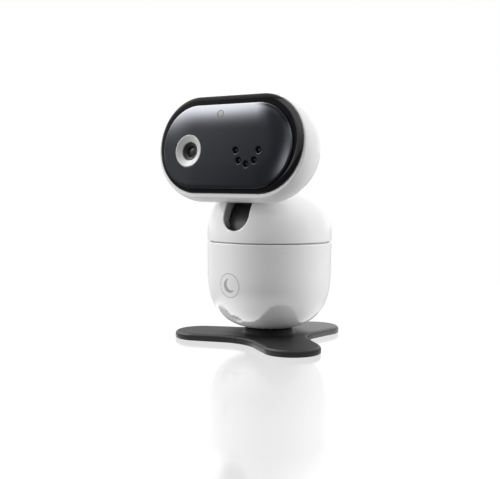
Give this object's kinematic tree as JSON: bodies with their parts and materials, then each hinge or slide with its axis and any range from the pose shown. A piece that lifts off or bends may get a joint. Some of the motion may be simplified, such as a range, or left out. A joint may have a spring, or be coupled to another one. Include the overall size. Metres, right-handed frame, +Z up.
{
  "type": "baby monitor camera",
  "caption": "Motorised baby monitor camera: a three-legged foot, a cup-shaped base, a turning dome and a tilting oval head with a lens and infrared lights.",
  "frame": {"origin": "on the floor under the foot, on the vertical axis the dome turns about", "axes": "+Z up; the head's face looks along -Y at rest and X runs across the face, so the tilt axis is parallel to +X"},
  "size_m": [0.1056, 0.105, 0.1416],
  "materials": {
    "white_gloss": "smooth glossy white moulding",
    "foot_rubber": "satin dark grey soft rubber",
    "black_gloss": "piano black gloss",
    "panel_gloss": "smoked glossy black window",
    "black_plastic": "fine textured black",
    "steel": "plain bright steel",
    "print_grey": "thin grey inlay",
    "light_pipe": "clear frosted plastic",
    "speaker_black": "paper cone and frame",
    "circuit_board": "green solder mask",
    "antenna_gold": "gold-plated trace",
    "cable_black": "insulated wires",
    "frame_grey": "light grey structural plastic",
    "gear_white": "natural acetal",
    "bush_brass": "plain bronze bush",
    "key_grey": "soft-touch key",
    "ring_silver": "satin silver dish",
    "lens_glass": "coated front element",
    "filter_glass": "infrared cut filter",
    "sensor_chip": "image sensor package",
    "led_clear": "clear epoxy"
  },
  "bodies": {
    "stand": {"foot_star": "foot_rubber", "foot_hub": "black_plastic", "foot_screw": "steel", "lower_shell": "white_gloss", "emblem": "print_grey", "status_light": "light_pipe", "speaker": "speaker_black", "microphone": "steel", "main_board": "circuit_board", "board_screws": "steel", "wifi_antenna": "antenna_gold", "power_socket": "steel", "control_switches": "black_plastic", "chassis": "frame_grey", "chassis_screws": "steel", "pan_ring_gear": "gear_white", "pan_washer": "gear_white", "pan_retainer": "steel", "retainer_screws": "steel", "base_cable": "cable_black"},
    "turret": {"upper_shell": "white_gloss", "slot_liner": "black_plastic", "turret_frame": "frame_grey", "turret_screws": "steel", "tilt_bushes": "bush_brass", "pan_motor": "steel", "tilt_motor": "steel", "motor_screws": "steel"},
    "head": {"neck_arm": "black_plastic", "slot_shield": "black_plastic", "tilt_axle": "steel", "tilt_gear": "gear_white", "neck_screws": "steel", "head_cable": "cable_black", "head_rear_shell": "white_gloss", "bezel": "black_gloss", "head_screws": "steel", "front_panel": "panel_gloss", "lens_ring": "ring_silver", "lens_barrel": "black_plastic", "lens_glass": "lens_glass", "filter_frame": "black_plastic", "sensor_board": "circuit_board", "image_sensor": "sensor_chip", "led_board": "circuit_board", "infrared_leds": "led_clear", "light_sensor": "light_pipe"},
    "pan_drive": {"pan_shaft": "steel", "pan_pinion": "gear_white"},
    "tilt_drive": {"tilt_shaft": "steel", "tilt_pinion": "gear_white"},
    "switch_slider": {"power_switch": "black_plastic"},
    "pair_key": {"pair_button": "key_grey"},
    "night_filter": {"ir_filter": "filter_glass"}
  },
  "joints": [
    {"name": "pan", "type": "hinge", "parent": "stand", "child": "turret", "pos_m": [0, 0, 0.0305], "axis": [0, 0, 1], "range_deg": [-175, 175]},
    {"name": "tilt", "type": "hinge", "parent": "turret", "child": "head", "pos_m": [0, 0, 0.059], "axis": [1, 0, 0], "range_deg": [-45, 28]},
    {"name": "pan_drive_spin", "type": "hinge", "parent": "turret", "child": "pan_drive", "pos_m": [0.02151, 0.0066, 0.026], "axis": [0, 0, 1], "range_deg": [-1055, 1055]},
    {"name": "tilt_drive_spin", "type": "hinge", "parent": "turret", "child": "tilt_drive", "pos_m": [-0.013, 0, 0.0395], "axis": [1, 0, 0], "range_deg": [-94, 151]},
    {"name": "night_filter_slide", "type": "slide", "parent": "head", "child": "night_filter", "axis": [1, 0, 0], "range_m": [0, 0.006]},
    {"name": "power_switch_slide", "type": "slide", "parent": "stand", "child": "switch_slider", "axis": [-0.8434, 0.5373, 0], "range_m": [0, 0.003]},
    {"name": "pair_key_press", "type": "slide", "parent": "stand", "child": "pair_key", "axis": [0.2406, -0.5534, 0.7974], "range_m": [0, 0.0007], "stiffness_N_per_m": 200}
  ],
  "couplings": [
    {"joint": "pan_drive_spin", "follows": "pan", "ratio": -6},
    {"joint": "tilt_drive_spin", "follows": "tilt", "ratio": -3.3333}
  ]
}
